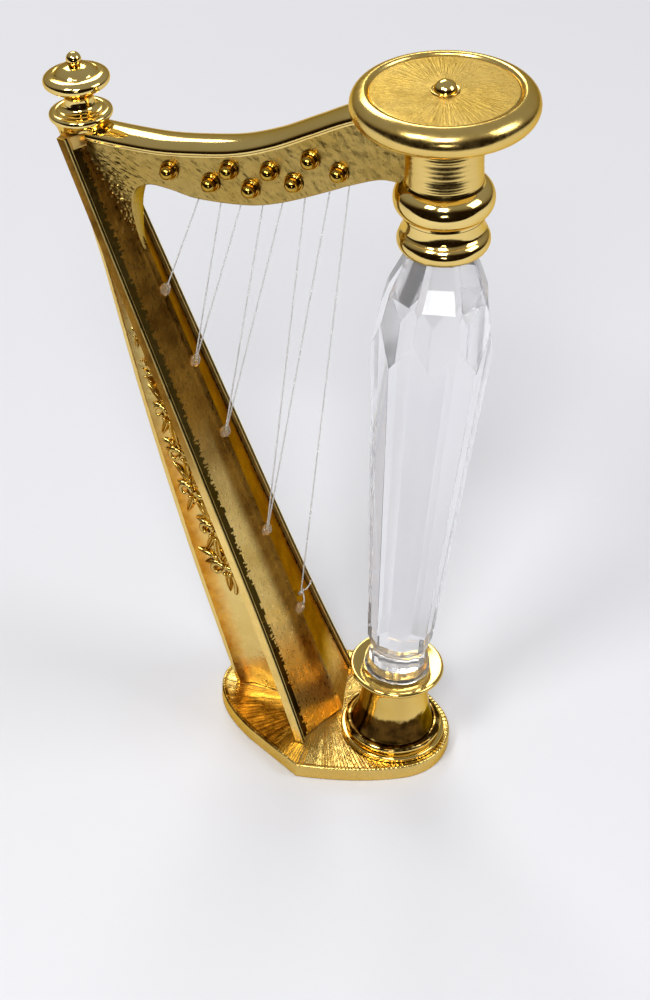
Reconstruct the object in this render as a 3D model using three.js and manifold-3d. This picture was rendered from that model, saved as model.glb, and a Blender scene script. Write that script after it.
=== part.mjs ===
// Miniature ornamental harp: gold-plated cast frame, cut-crystal column, clear thread for strings.
// Millimetres, +Z up. Origin: under the column, on the table. +X points away from the soundbox.
import * as THREE from 'three';
import { mergeVertices } from 'three/addons/utils/BufferGeometryUtils.js';
import Module from 'manifold-3d';

const wasm = await Module();
wasm.setup();

// ---------------------------------------------------------------- driving dimensions
const GAP = 0.03;                    // clearance left between pieces that touch
const PLATE = 1.7;                   // base plate thickness
const LEAN = 0.44;                   // soundboard: millimetres back per millimetre up
const FOOT_X = -7.2;                 // soundboard lips where they meet the base plate
const HEAD_Z = 63.9;                 // top of the soundboard, under the finial
const LIP = 0.55;                    // width of the raised lip along each soundboard edge
const CREASE = 1.45;                 // how far the centre crease stands out in front of the lips
const FIELD_DROP = 0.45;             // depth of the field beside the lips
const BOARD_BACK = 0.9;              // board thickness at the lips
const WEB_HALF = 0.6;                // half thickness of the web behind the soundboard
const SPINE_HALF = 1.4;              // half width of the flange along the back
const SPINE_DEPTH = 0.6;
const NECK_HALF = 1.5;               // half thickness of the neck plate
const RAIL_HALF = 1.85;              // half width of the rounded rail on the neck
const RAIL_HEIGHT = 1.25;
const PIN_R = 0.72;                  // tuning pin bead
const STRING_R = 0.07;
const STRING_HOLE_R = 0.16;
const STRING_PAIR = 0.1;             // two strings share a hole, each this far to one side
const DISH_Z = 10.65;                // floor of the dish that carries the crystal
const CRYSTAL_FOOT = 10.8;
const CRYSTAL_TOP = 62.1;
const COLUMN_LEAN = 1.55;            // degrees, away from the soundbox
const CAPITAL_Z = 61.35;
const CAPITAL_X = 1.4;
const CAPITAL_TILT = -3.6;           // degrees, back towards the neck
const FINIAL_X = -34.66;
const FINIAL_TILT = -6;              // degrees, away from the neck
const FINIAL_LIFT = 0.26;            // keeps the tilted foot clear of the soundboard
const TURNED_SIDES = 32;

// spine of the neck: lower edge of its rail, as x and z
const NECK_TOP = [[-33.4, 63.4], [-29.7, 63.6], [-25.8, 64.0], [-22, 64.8], [-18.1, 65.9],
  [-14.4, 67.6], [-10.8, 69.8], [-7.2, 72.0], [-3.6, 73.6], [-1, 74.4]];
// underside of the neck, from the capital to the fillet at the soundboard
const NECK_BOTTOM = [[-1, 67.2], [-4, 67.3], [-7.1, 65.9], [-9, 64.8], [-12.6, 62.8], [-15.5, 61.5],
  [-18.2, 60.8], [-22.2, 60.3], [-24.8, 60.5], [-27, 60.4], [-28.4, 59.4], [-28.9, 57.6],
  [-28.8, 55.6], [-28.5, 53.6]];
// rear edge of the soundbox, as x and z
const SPINE = [[-17.6, PLATE + GAP], [-23.3, 18.5], [-28.4, 35.5], [-32.8, 52], [-36.7, HEAD_Z]];
// tuning pins on the near face of the neck, as x and z
const PINS = [[-24.9, 62.6], [-20.7, 62.5], [-18.9, 64.3], [-16.7, 63], [-14.9, 65.3],
  [-12.5, 64.8], [-11, 67.5], [-8.2, 67]];
// heights of the four upper string holes on the crease, and where the lowest one sits
const HOLE_Z = [48.4, 41.2, 33.7, 22.9, 13.9];
// each string: x where it leaves the neck, and which hole it runs to
const STRINGS = [[-22.4, 0], [-20.3, 1], [-18.2, 1], [-16.1, 2], [-14.1, 2], [-12, 3], [-9.6, 3],
  [-7.8, 4]];
const KNOT = { y: 1.5, z: 14.6, lift: 0.34 };

const LOOKS = {
  polished: { color: 0xd9a441, roughness: 0.16, metalness: 1 },
  textured: { color: 0xc79a3c, roughness: 0.42, metalness: 1 },
  crystal: { color: 0xf4f8fa, roughness: 0.02, metalness: 0, transparent: true, opacity: 0.35 },
  thread: { color: 0xe8ecee, roughness: 0.25, metalness: 0, transparent: true, opacity: 0.7 },
  glue: { color: 0xf6f2e2, roughness: 0.12, metalness: 0, transparent: true, opacity: 0.6 },
};

const harp = new THREE.Group();

// ---------------------------------------------------------------- helpers
const degrees = THREE.MathUtils.degToRad;

function piece(name, geometry, look, parent = harp) {
  const mesh = new THREE.Mesh(geometry, new THREE.MeshStandardMaterial(LOOKS[look]));
  mesh.name = name;
  parent.add(mesh);
  return mesh;
}

function bare(geometry) {
  const copy = geometry.clone();
  copy.deleteAttribute('normal');
  copy.deleteAttribute('uv');
  return mergeVertices(copy, 1e-4);
}

function toSolid(geometry) {
  const merged = bare(geometry);
  return new wasm.Manifold(new wasm.Mesh({
    numProp: 3,
    vertProperties: new Float32Array(merged.attributes.position.array),
    triVerts: new Uint32Array(merged.index.array),
  }));
}

function toGeometry(solid) {
  const mesh = solid.getMesh();
  const geometry = new THREE.BufferGeometry();
  geometry.setAttribute('position', new THREE.BufferAttribute(mesh.vertProperties, 3));
  geometry.setIndex(new THREE.BufferAttribute(mesh.triVerts, 1));
  geometry.computeVertexNormals();
  return geometry;
}

// closed solid through a list of outlines that all have the same number of points
function loft(rings) {
  const count = rings[0].length;
  const points = rings.flat();
  const index = [];
  for (let ring = 0; ring < rings.length - 1; ring += 1) {
    for (let side = 0; side < count; side += 1) {
      const a = ring * count + side;
      const b = ring * count + (side + 1) % count;
      index.push(a, b, b + count, a, b + count, a + count);
    }
  }
  const across = rings[0].map((point) => new THREE.Vector2(point.y, point.z + point.x));
  const last = (rings.length - 1) * count;
  for (const [i, j, k] of capTriangles(across)) {
    index.push(i, k, j, last + i, last + j, last + k);
  }
  const geometry = new THREE.BufferGeometry().setFromPoints(points);
  geometry.setIndex(index);
  return facingOut(geometry);
}

// triangles of a flat outline, turning the same way round as the outline itself
function capTriangles(outline) {
  const triangles = THREE.ShapeUtils.triangulateShape(outline, []);
  const turn = (points) => Math.sign(THREE.ShapeUtils.area(points));
  return triangles.map(([i, j, k]) => (
    turn([outline[i], outline[j], outline[k]]) === turn(outline) ? [i, j, k] : [i, k, j]
  ));
}

function facingOut(geometry) {
  if (signedVolume(geometry) < 0) {
    const index = geometry.index.array;
    for (let i = 0; i < index.length; i += 3) {
      [index[i], index[i + 1]] = [index[i + 1], index[i]];
    }
  }
  geometry.computeVertexNormals();
  return geometry;
}

function signedVolume(geometry) {
  const position = geometry.attributes.position;
  const corner = (i) => new THREE.Vector3().fromBufferAttribute(position, geometry.index.array[i]);
  let volume = 0;
  for (let i = 0; i < geometry.index.count; i += 3) {
    volume += corner(i).dot(corner(i + 1).cross(corner(i + 2)));
  }
  return volume;
}

// solid turned about Z from a profile of [radius, z] points
function turned(profile, sides = TURNED_SIDES) {
  const points = profile.map(([radius, z]) => new THREE.Vector2(radius, z));
  const geometry = new THREE.LatheGeometry(points, sides);
  geometry.rotateX(Math.PI / 2);
  return facingOut(bare(geometry));
}

// outline in the XZ plane made solid between y = -half and y = half
function slab(points, half, bevel = 0) {
  const shape = new THREE.Shape(points.map(([x, z]) => new THREE.Vector2(x, z)));
  const geometry = new THREE.ExtrudeGeometry(shape, {
    depth: 2 * (half - bevel),
    bevelEnabled: bevel > 0,
    bevelThickness: bevel,
    bevelSize: bevel,
    bevelOffset: -bevel,
    bevelSegments: 2,
  });
  geometry.translate(0, 0, -(half - bevel));
  geometry.rotateX(Math.PI / 2);
  return geometry;
}

function smooth(points, divisions) {
  const curve = new THREE.SplineCurve(points.map(([x, z]) => new THREE.Vector2(x, z)));
  return curve.getPoints(divisions).map((point) => [point.x, point.y]);
}

function rod(from, to, radius, sides = 8) {
  const shape = new THREE.Shape();
  shape.absarc(0, 0, radius, 0, 2 * Math.PI);
  return new THREE.ExtrudeGeometry(shape, {
    steps: 1,
    curveSegments: sides,
    bevelEnabled: false,
    extrudePath: new THREE.LineCurve3(from, to),
  });
}

function placed(x, z, tilt) {
  const group = new THREE.Group();
  group.position.set(x, 0, z);
  group.rotation.y = degrees(tilt);
  group.updateMatrix();
  harp.add(group);
  return group;
}

// ---------------------------------------------------------------- soundboard surface
const lipX = (z) => FOOT_X - LEAN * (z - PLATE);
const creaseX = (z) => lipX(z) + CREASE;

function boardHalf(z) {
  const t = (z - PLATE) / (HEAD_Z - PLATE);
  const flare = Math.max(0, 1 - t / 0.3);
  return 5.85 - 2.5 * t + 0.75 * flare * flare;
}

// a point on the front face of the field, y across and z up
function fieldPoint(y, z, lift = 0) {
  const edge = boardHalf(z) - LIP;
  const x = creaseX(z) - (CREASE + FIELD_DROP) * Math.abs(y) / edge;
  return new THREE.Vector3(x + lift, y, z);
}

// ---------------------------------------------------------------- base plate
function basePlate() {
  const shape = new THREE.Shape();
  const bevel = 0.2;
  shape.moveTo(-6.6, -9.7);
  shape.quadraticCurveTo(-0.4, -7.95, 3.53, -4.95);
  shape.absarc(-0.2, 0, 6.2, -0.925, 0.925);
  shape.quadraticCurveTo(-0.4, 7.95, -6.6, 9.7);
  shape.lineTo(-13.2, 7);
  shape.quadraticCurveTo(-19.3, 4, -19.4, 0);
  shape.quadraticCurveTo(-19.3, -4, -13.2, -7);
  const geometry = new THREE.ExtrudeGeometry(shape, {
    depth: PLATE - bevel,
    curveSegments: 16,
    bevelEnabled: true,
    bevelThickness: bevel,
    bevelSize: bevel,
    bevelOffset: -bevel,
    bevelSegments: 2,
  });
  const block = toSolid(geometry);
  const [low] = [new THREE.Box3().setFromBufferAttribute(geometry.attributes.position)];
  const cutter = new THREE.BoxGeometry(80, 80, 2);
  cutter.translate(0, 0, -1);
  const flat = toGeometry(block.subtract(toSolid(cutter)));
  flat.translate(0, 0, PLATE - low.max.z);
  return flat;
}

// ---------------------------------------------------------------- soundbox
function boardRing(z, shift = 0) {
  const half = boardHalf(z);
  const front = lipX(z) + shift;
  const edge = half - LIP;
  const outline = [[-half, 0], [-edge, 0], [-edge + 0.05, -FIELD_DROP], [0, CREASE],
    [edge - 0.05, -FIELD_DROP], [edge, 0], [half, 0], [half, -BOARD_BACK],
    [0, -BOARD_BACK], [-half, -BOARD_BACK]];
  return outline.map(([y, x]) => new THREE.Vector3(front + x, y, z));
}

function boardGeometry(low, high, shift = 0) {
  const stations = 12;
  const rings = [];
  for (let i = 0; i <= stations; i += 1) {
    rings.push(boardRing(low + (high - low) * i / stations, shift));
  }
  return loft(rings);
}

function soundboard() {
  let solid = toSolid(boardGeometry(PLATE + GAP, HEAD_Z));
  for (const z of HOLE_Z) {
    const middle = fieldPoint(0, z);
    const from = middle.clone().add(new THREE.Vector3(2, 0, 2 * LEAN));
    const to = middle.clone().add(new THREE.Vector3(-4, 0, -4 * LEAN));
    solid = solid.subtract(toSolid(rod(from, to, 0.3)));
  }
  return toGeometry(solid);
}

function spineStrip(depth) {
  const outer = smooth(SPINE, 16);
  const inner = outer.map(([x, z]) => [x + depth, z]);
  return slab([...outer, ...inner.reverse()], SPINE_HALF, 0.2);
}

function webOutline(inset = GAP) {
  const rear = smooth(SPINE, 16).map(([x, z]) => [x + SPINE_DEPTH + inset, z]);
  const back = (z) => lipX(z) - BOARD_BACK - inset;
  return [...rear, [back(HEAD_Z), HEAD_Z], [back(PLATE + GAP), PLATE + GAP]];
}

// where the vine climbs at height z, and how deep the web is there
function vineLine(z) {
  const points = smooth(SPINE, 60);
  const rear = points.find((point) => point[1] >= z) ?? points[points.length - 1];
  const front = lipX(z) - BOARD_BACK;
  const depth = front - rear[0] - SPINE_DEPTH;
  return { x: front - 0.68 * depth, depth };
}

// a climbing stem with leaves, raised from one face of the web
function vine(side) {
  const low = 14;
  const high = 47;
  const waves = 4;
  const height = 0.3;
  const stem = [];
  const bends = 32;
  for (let i = 0; i <= bends; i += 1) {
    const t = i / bends;
    const z = low + (high - low) * t;
    const web = vineLine(z);
    stem.push([web.x + 0.6 * Math.sin(2 * Math.PI * waves * t), z]);
  }
  const left = stem.map(([x, z]) => [x - 0.14, z]);
  const right = stem.map(([x, z]) => [x + 0.14, z]).reverse();
  let solid = toSolid(slab([...left, ...right], height));
  const leaves = 16;
  for (let i = 0; i < leaves; i += 1) {
    const at = stem[Math.round(1 + (i + 0.5) * (bends - 2) / leaves)];
    const size = 0.85;
    const turn = (i % 2 ? 1 : -1) * 55 + 65;
    const shape = new THREE.Shape();
    shape.moveTo(-0.1, 0);
    shape.quadraticCurveTo(size, size, 2.4 * size, 0);
    shape.quadraticCurveTo(size, -size, -0.1, 0);
    const leaf = new THREE.ExtrudeGeometry(shape, {
      depth: 2 * height,
      curveSegments: 3,
      bevelEnabled: false,
    });
    leaf.translate(0, 0, -height);
    leaf.rotateZ(degrees(turn));
    leaf.rotateX(Math.PI / 2);
    leaf.translate(at[0], 0, at[1]);
    solid = solid.add(toSolid(leaf));
  }
  const geometry = toGeometry(solid.intersect(toSolid(slab(webOutline(0.15), 1))));
  geometry.translate(0, side * (WEB_HALF + GAP + height), 0);
  return geometry;
}

// ---------------------------------------------------------------- neck
function railRing(before, at, after) {
  const along = new THREE.Vector2(after[0] - before[0], after[1] - before[1]).normalize();
  const up = new THREE.Vector2(-along.y, along.x);
  const ring = [];
  const arc = 10;
  for (let i = 0; i <= arc; i += 1) {
    const angle = Math.PI * i / arc;
    const side = RAIL_HALF * Math.cos(angle);
    const rise = 0.25 + (RAIL_HEIGHT - 0.25) * Math.sin(angle);
    ring.push(new THREE.Vector3(at[0] + up.x * rise, side, at[1] + up.y * rise));
  }
  ring.push(new THREE.Vector3(at[0] + up.x * GAP, -RAIL_HALF, at[1] + up.y * GAP));
  ring.push(new THREE.Vector3(at[0] + up.x * GAP, RAIL_HALF, at[1] + up.y * GAP));
  return ring;
}

function railGeometry() {
  const path = smooth(NECK_TOP, 24);
  const rings = path.map((at, i) => railRing(path[Math.max(0, i - 1)], at,
    path[Math.min(path.length - 1, i + 1)]));
  return loft(rings);
}

function neckOutline() {
  const top = smooth(NECK_TOP, 24);
  const bottom = smooth(NECK_BOTTOM, 32);
  return [...top, ...bottom, [creaseX(53.6) - 1, 53.6], [-33.4, 60]];
}

function stringTop(index) {
  const x = STRINGS[index][0];
  const under = smooth(NECK_BOTTOM, 120);
  const nearest = under.reduce((a, b) => (Math.abs(a[0] - x) < Math.abs(b[0] - x) ? a : b));
  return new THREE.Vector3(x, 0, nearest[1]);
}

const knotPoint = () => fieldPoint(KNOT.y, KNOT.z, KNOT.lift);

function stringFoot(index) {
  const hole = STRINGS[index][1];
  if (hole === HOLE_Z.length - 1) {
    return knotPoint();
  }
  const side = index % 2 ? -STRING_PAIR : STRING_PAIR;
  return fieldPoint(side, HOLE_Z[hole], 0.12);
}

function neck(cutters) {
  let solid = toSolid(slab(neckOutline(), NECK_HALF, 0.15));
  for (const cutter of cutters) {
    solid = solid.subtract(toSolid(cutter));
  }
  STRINGS.forEach((entry, index) => {
    const top = stringTop(index);
    const direction = top.clone().sub(stringFoot(index)).normalize();
    const from = top.clone().addScaledVector(direction, -1.5);
    const to = top.clone().addScaledVector(direction, 1.2);
    solid = solid.subtract(toSolid(rod(from, to, STRING_HOLE_R, 6)));
  });
  return toGeometry(solid);
}

// ---------------------------------------------------------------- column
function pedestal() {
  return turned([[0, PLATE + GAP], [5.4, PLATE + GAP], [5.42, 2.1], [5.2, 2.32], [4.85, 2.36],
    [5, 2.5], [5.05, 2.75], [4.95, 3], [4.6, 3.14], [4.25, 3.2], [4.15, 3.6], [3.9, 4.6], [3.6, 6],
    [3.4, 7.4], [3.34, 8.5], [3.45, 9.3], [3.95, 9.9], [4.55, 10.2], [4.82, 10.5], [4.8, 10.72],
    [4.55, 10.84], [3.9, DISH_Z], [0, DISH_Z]]);
}

// keeps the part of a solid inside a sloping face: radius at height z, leaning in by slope per mm
function cutFace(solid, azimuth, radius, z, slope) {
  const angle = degrees(azimuth);
  const inward = new THREE.Vector3(-Math.cos(angle), -Math.sin(angle), -slope);
  const offset = -radius - slope * z;
  const length = inward.length();
  const normal = inward.divideScalar(length);
  return solid.trimByPlane([normal.x, normal.y, normal.z], offset / length);
}

// eight long faces, kites over their edges, and a crown of sixteen small faces under the capital
function crystal() {
  const height = CRYSTAL_TOP - CRYSTAL_FOOT;
  const blank = new THREE.BoxGeometry(20, 20, height);
  blank.translate(0, 0, CRYSTAL_FOOT + height / 2);
  let solid = toSolid(blank);
  for (let i = 0; i < 8; i += 1) {
    const face = 45 * i;
    const edge = face + 22.5;
    solid = cutFace(solid, face, 5.17, 51, -0.0586);
    solid = cutFace(solid, edge, 5.58, 50.5, 0.176);
    solid = cutFace(solid, face, 4.62, 57.2, 0.404);
    solid = cutFace(solid, edge, 4.46, 57, 0.378);
  }
  const tip = turned([[0, CRYSTAL_FOOT], [2.5, CRYSTAL_FOOT], [2.86, 11.3], [2.88, 14.1],
    [3.6, 14.85], [9, 15.2], [9, CRYSTAL_TOP + 1], [0, CRYSTAL_TOP + 1]], 16);
  const geometry = toGeometry(solid.intersect(toSolid(tip)));
  geometry.translate(0, 0, -CRYSTAL_FOOT);
  return geometry;
}

function glueCup() {
  return turned([[0, -0.06], [3.1, -0.06], [3.38, 0.25], [3.3, 0.8], [3.08, 1.25], [2.94, 1.35],
    [2.94, 0.42], [2.56, -GAP], [0, -GAP]]);
}

// ---------------------------------------------------------------- capital, z from its underside
function capitalRing() {
  return turned([[3.25, 0.03], [3.6, 0.1], [3.95, 0.4], [4.15, 1.05], [3.98, 1.65], [3.72, 2.05],
    [3.62, 2.5], [3.62, 3.4], [0, 3.4], [0, 1.35], [3.25, 1.35], [3.25, 0.03]]);
}

function capitalBulb() {
  return turned([[0, 3.43], [3.5, 3.43], [3.95, 3.75], [4.34, 4.4], [4.48, 5.2], [4.34, 6],
    [3.95, 6.6], [3.55, 6.85], [0, 6.85]]);
}

function capitalDrum() {
  return turned([[0, 6.88], [3.42, 6.88], [3.4, 9.4], [3.44, 11.4], [3.62, 12.2], [4.1, 12.55],
    [0, 12.55]]);
}

function capitalDisc() {
  const rim = [];
  const steps = 10;
  for (let i = 0; i <= steps; i += 1) {
    const angle = -Math.PI / 2 + Math.PI * i / steps;
    rim.push([6.68 + 1.45 * Math.cos(angle), 14 + 1.42 * Math.sin(angle)]);
  }
  return turned([[0, 12.58], ...rim, [6.56, 15.3], [6.48, 15.12], [6.38, 15.2], [0, 15.2]], 40);
}

function bead(radius, z, flat) {
  const profile = [[0, z - flat]];
  const start = Math.acos(flat / radius);
  const steps = 5;
  for (let i = 0; i <= steps; i += 1) {
    const angle = Math.PI - start + (start - Math.PI) * i / steps;
    profile.push([radius * Math.sin(angle), z + radius * Math.cos(angle)]);
  }
  profile[profile.length - 1][0] = 0;
  return turned(profile, 14);
}

function capitalEnvelope() {
  return turned([[0, 3], [3.75, 3], [4.12, 3.7], [4.38, 4.3], [4.53, 5.2], [4.38, 6.1],
    [3.95, 6.7], [3.5, 6.95], [3.45, 9.4], [3.49, 11.4], [3.68, 12.15], [4.2, 12.5], [6.68, 12.52],
    [8.3, 12.6], [8.4, 17], [0, 17]]);
}

// ---------------------------------------------------------------- finial, z from its underside
function finialBase() {
  return turned([[0, GAP], [2.42, GAP], [2.5, 0.15], [2.66, 0.5], [2.88, 0.75], [2.96, 1],
    [2.88, 1.25], [2.6, 1.42], [2.2, 1.5], [1.85, 1.6], [1.6, 1.8], [1.45, 2.05], [0, 2.05]], 24);
}

function finialCap() {
  return turned([[0, 2.08], [1.43, 2.08], [1.38, 2.5], [1.5, 3], [1.95, 3.4], [2.6, 3.72],
    [3, 4.05], [3.08, 4.4], [2.95, 4.72], [2.6, 4.95], [2.2, 5.05], [1.95, 5.12], [1.75, 5.35],
    [1.3, 5.62], [0.75, 5.76], [0.42, 5.8], [0, 5.8]], 24);
}

function finialEnvelope() {
  return turned([[0, 0], [2.46, 0], [2.54, 0.13], [2.7, 0.48], [2.93, 0.73], [3.02, 1], [2.94, 1.29],
    [2.66, 1.47], [2.2, 1.56], [1.9, 1.7], [1.9, 9], [0, 9]], 24);
}

// ---------------------------------------------------------------- strings
function knot() {
  const geometry = new THREE.SphereGeometry(0.36, 10, 6);
  geometry.scale(0.8, 1.2, 1);
  const at = knotPoint();
  geometry.translate(at.x, at.y, at.z);
  return geometry;
}

// clear drop that seals a string hole: a low dome on the crease
function drop(z) {
  const dome = toSolid(new THREE.SphereGeometry(0.62, 10, 8));
  const at = fieldPoint(0, z, -0.05);
  const board = toSolid(boardGeometry(z - 4, z + 4, GAP));
  return toGeometry(dome.translate([at.x, at.y, at.z]).subtract(board));
}

function tuningPin([x, z]) {
  const profile = [[0, 0.03], [1.02, 0.03], [1, 0.14], [0.78, 0.22], [0.7, 0.3]];
  const steps = 4;
  for (let i = 0; i <= steps; i += 1) {
    const angle = degrees(-15 + 105 * i / steps);
    profile.push([PIN_R * Math.cos(angle), 0.56 + PIN_R * Math.sin(angle)]);
  }
  profile[profile.length - 1][0] = 0;
  const geometry = turned(profile, 12);
  geometry.rotateX(Math.PI / 2);
  geometry.translate(x, -NECK_HALF, z);
  return geometry;
}

// ---------------------------------------------------------------- assembly
piece('base_plate', basePlate(), 'textured');
piece('column_pedestal', pedestal(), 'polished');

const column = placed(0, CRYSTAL_FOOT, COLUMN_LEAN);
piece('column_lower_glue', glueCup(), 'glue', column);
piece('crystal_column', crystal(), 'crystal', column);

const capital = placed(CAPITAL_X, CAPITAL_Z, CAPITAL_TILT);
piece('column_upper_glue', turned([[0, 1.05], [3, 1.05], [3, 1.32], [0, 1.32]]), 'glue', capital);
piece('capital_lower_ring', capitalRing(), 'polished', capital);
piece('capital_bulb_ring', capitalBulb(), 'polished', capital);
piece('capital_drum', capitalDrum(), 'textured', capital);
piece('capital_disc', capitalDisc(), 'polished', capital);
piece('capital_bead', bead(1.05, 15.12, -0.11), 'polished', capital);

const finial = placed(FINIAL_X, HEAD_Z + FINIAL_LIFT, FINIAL_TILT);
piece('finial_base', finialBase(), 'polished', finial);
piece('finial_cap', finialCap(), 'polished', finial);
piece('finial_bead', bead(0.7, 6.27, 0.44), 'polished', finial);

piece('soundboard', soundboard(), 'textured');
piece('soundbox_web', slab(webOutline(), WEB_HALF), 'polished');
piece('soundbox_spine', spineStrip(SPINE_DEPTH), 'polished');
piece('vine_relief_near', vine(-1), 'polished');
piece('vine_relief_far', vine(1), 'polished');

const capitalCut = capitalEnvelope().applyMatrix4(capital.matrix);
const finialCut = finialEnvelope().applyMatrix4(finial.matrix);
const boardCut = boardGeometry(PLATE, HEAD_Z + 4, GAP);
piece('neck', neck([capitalCut, finialCut, boardCut]), 'textured');
const rail = [capitalCut, finialCut, boardCut].reduce(
  (solid, cutter) => solid.subtract(toSolid(cutter)), toSolid(railGeometry()));
piece('neck_rail', toGeometry(rail), 'polished');

PINS.forEach((at, index) => {
  piece(`tuning_pin_${index + 1}`, tuningPin(at), 'polished');
});
HOLE_Z.forEach((z, index) => {
  piece(`string_seal_${index + 1}`, drop(z), 'glue');
});
STRINGS.forEach((entry, index) => {
  const top = stringTop(index);
  const foot = stringFoot(index);
  const direction = top.clone().sub(foot).normalize();
  top.addScaledVector(direction, 0.9);
  piece(`string_${index + 1}`, rod(foot, top, STRING_R), 'thread');
});
piece('string_knot', knot(), 'thread');

export default harp;
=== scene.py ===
"""Looks of the miniature gold harp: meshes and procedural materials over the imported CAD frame.

Sizes are in millimetres and angles in degrees, and they repeat the design's driving dimensions.
Meshes are made in millimetres, and add_piece scales them to metres. The studio is in metres.
"""
import bisect
import math

import bmesh
import bpy
from mathutils import Matrix, Vector, noise


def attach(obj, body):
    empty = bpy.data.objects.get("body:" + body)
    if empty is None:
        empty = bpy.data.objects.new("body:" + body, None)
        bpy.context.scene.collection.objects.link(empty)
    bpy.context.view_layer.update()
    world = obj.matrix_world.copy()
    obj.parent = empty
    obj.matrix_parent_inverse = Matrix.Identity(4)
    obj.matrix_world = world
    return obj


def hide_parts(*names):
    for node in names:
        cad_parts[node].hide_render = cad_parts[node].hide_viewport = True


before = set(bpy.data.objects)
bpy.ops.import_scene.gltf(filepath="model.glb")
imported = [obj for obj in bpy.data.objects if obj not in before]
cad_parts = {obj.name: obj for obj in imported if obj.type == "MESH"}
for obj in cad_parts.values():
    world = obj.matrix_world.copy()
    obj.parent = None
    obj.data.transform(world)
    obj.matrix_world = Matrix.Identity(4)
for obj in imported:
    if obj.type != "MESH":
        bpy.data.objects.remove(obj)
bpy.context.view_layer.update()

MM = 0.001             # one millimetre in metres
GAP = 0.03             # clearance left between pieces that touch
SKIN = 0.03            # a rough face is drawn in by this much, so its bumps stay near the CAD face
PLATE = 1.7            # base plate thickness
BASE_MIDDLE = -7.6     # x of the point that the plate's rays start from
BASE_SHOULDER = (-6.6, 9.7)
BASE_REAR = (-13.2, 7)
LEAN = 0.44            # soundboard: millimetres back per millimetre up
FOOT_X = -7.2          # soundboard lips where they meet the base plate
HEAD_Z = 63.9          # top of the soundboard, under the finial
LIP = 0.55             # width of the raised lip along each soundboard edge
CREASE = 1.45          # how far the centre crease stands out in front of the lips
FIELD_DROP = 0.45      # depth of the field beside the lips
BOARD_BACK = 0.9       # board thickness at the lips
WEB_HALF = 0.6         # half thickness of the web behind the soundboard
SPINE_HALF = 1.4       # half width of the flange along the back
SPINE_DEPTH = 0.6
VINE_LOW, VINE_HIGH = 13.5, 46.5
VINE_WAVES = 5         # swings of the stem to each side
VINE_UNITS = 7         # pairs of scrolls with their leaves and berries
NECK_HALF = 1.5        # half thickness of the neck plate
RAIL_HALF = 1.85       # half width of the rounded rail on the neck
RAIL_HEIGHT = 1.25
PIN_R = 0.72           # tuning pin bead
STRING_R = 0.07
STRING_PAIR = 0.1      # two strings share a hole, each this far to one side
STRING_SUNK = 0.9      # how far a string runs on inside the neck
SEAL_R = 0.66          # drop of glue over a string hole
CRYSTAL_FOOT = 10.8
COLUMN_LEAN = 1.55     # away from the soundbox
CAPITAL_Z = 61.35
CAPITAL_X = 1.4
CAPITAL_TILT = -3.6    # back towards the neck
DISC_FIELD_R = 6.4     # brushed field on top of the disc
DISC_FIELD_Z = 15.2
FINIAL_X = -34.66
FINIAL_TILT = -6       # away from the neck
FINIAL_LIFT = 0.26     # keeps the tilted foot clear of the soundboard

# lower edge of the rail and underside of the neck, as x and z
NECK_TOP = [(-33.4, 63.4), (-29.7, 63.6), (-25.8, 64), (-22, 64.8), (-18.1, 65.9), (-14.4, 67.6),
            (-10.8, 69.8), (-7.2, 72), (-3.6, 73.6), (-1, 74.4)]
NECK_BOTTOM = [(-1, 67.2), (-4, 67.3), (-7.1, 65.9), (-9, 64.8), (-12.6, 62.8), (-15.5, 61.5),
               (-18.2, 60.8), (-22.2, 60.3), (-24.8, 60.5), (-27, 60.4), (-28.4, 59.4),
               (-28.9, 57.6), (-28.8, 55.6), (-28.5, 53.6)]
# rear edge of the soundbox, as x and z
SPINE = [(-17.6, PLATE + GAP), (-23.3, 18.5), (-28.4, 35.5), (-32.8, 52), (-36.7, HEAD_Z)]
# tuning pins on the near face of the neck, as x and z
PINS = [(-24.9, 62.6), (-20.7, 62.5), (-18.9, 64.3), (-16.7, 63), (-14.9, 65.3), (-12.5, 64.8),
        (-11, 67.5), (-8.2, 67)]
# heights of the string holes, from the top
HOLE_Z = [48.4, 41.2, 33.7, 22.9, 13.9]
# each string: x where it leaves the neck, and which hole it runs to
STRINGS = [(-22.4, 0), (-20.3, 1), (-18.2, 1), (-16.1, 2), (-14.1, 2), (-12, 3), (-9.6, 3),
           (-7.8, 4)]
KNOT_Y, KNOT_Z, KNOT_LIFT = 1.5, 14.6, 0.34

# the photograph's view, fitted to the object's known circles
VIEW_PLACE = (57.3, -155.9, 166.2)
VIEW_AZIMUTH, VIEW_PITCH, VIEW_ROLL = 22.5, 50.28, 2.87
VIEW_SENSOR, VIEW_LENS = 36, 79.67


def add_object(name, data):
    thing = bpy.data.objects.new(name, data)
    bpy.context.scene.collection.objects.link(thing)
    return thing


# ---------------------------------------------------------------- camera
def make_camera():
    camera = bpy.data.cameras.new("camera")
    camera.sensor_width = VIEW_SENSOR
    camera.lens = VIEW_LENS
    camera.shift_x = -0.013
    camera.shift_y = 0.028
    camera.clip_start = 0.01
    holder = add_object("camera", camera)
    turn = (Matrix.Rotation(math.radians(VIEW_AZIMUTH), 4, "Z")
            @ Matrix.Rotation(math.radians(VIEW_PITCH), 4, "X"))
    roll = Matrix.Rotation(math.radians(VIEW_ROLL), 4, "Z")
    holder.matrix_world = Matrix.Translation(Vector(VIEW_PLACE) * MM) @ turn @ roll
    bpy.context.scene.camera = holder


make_camera()


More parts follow.
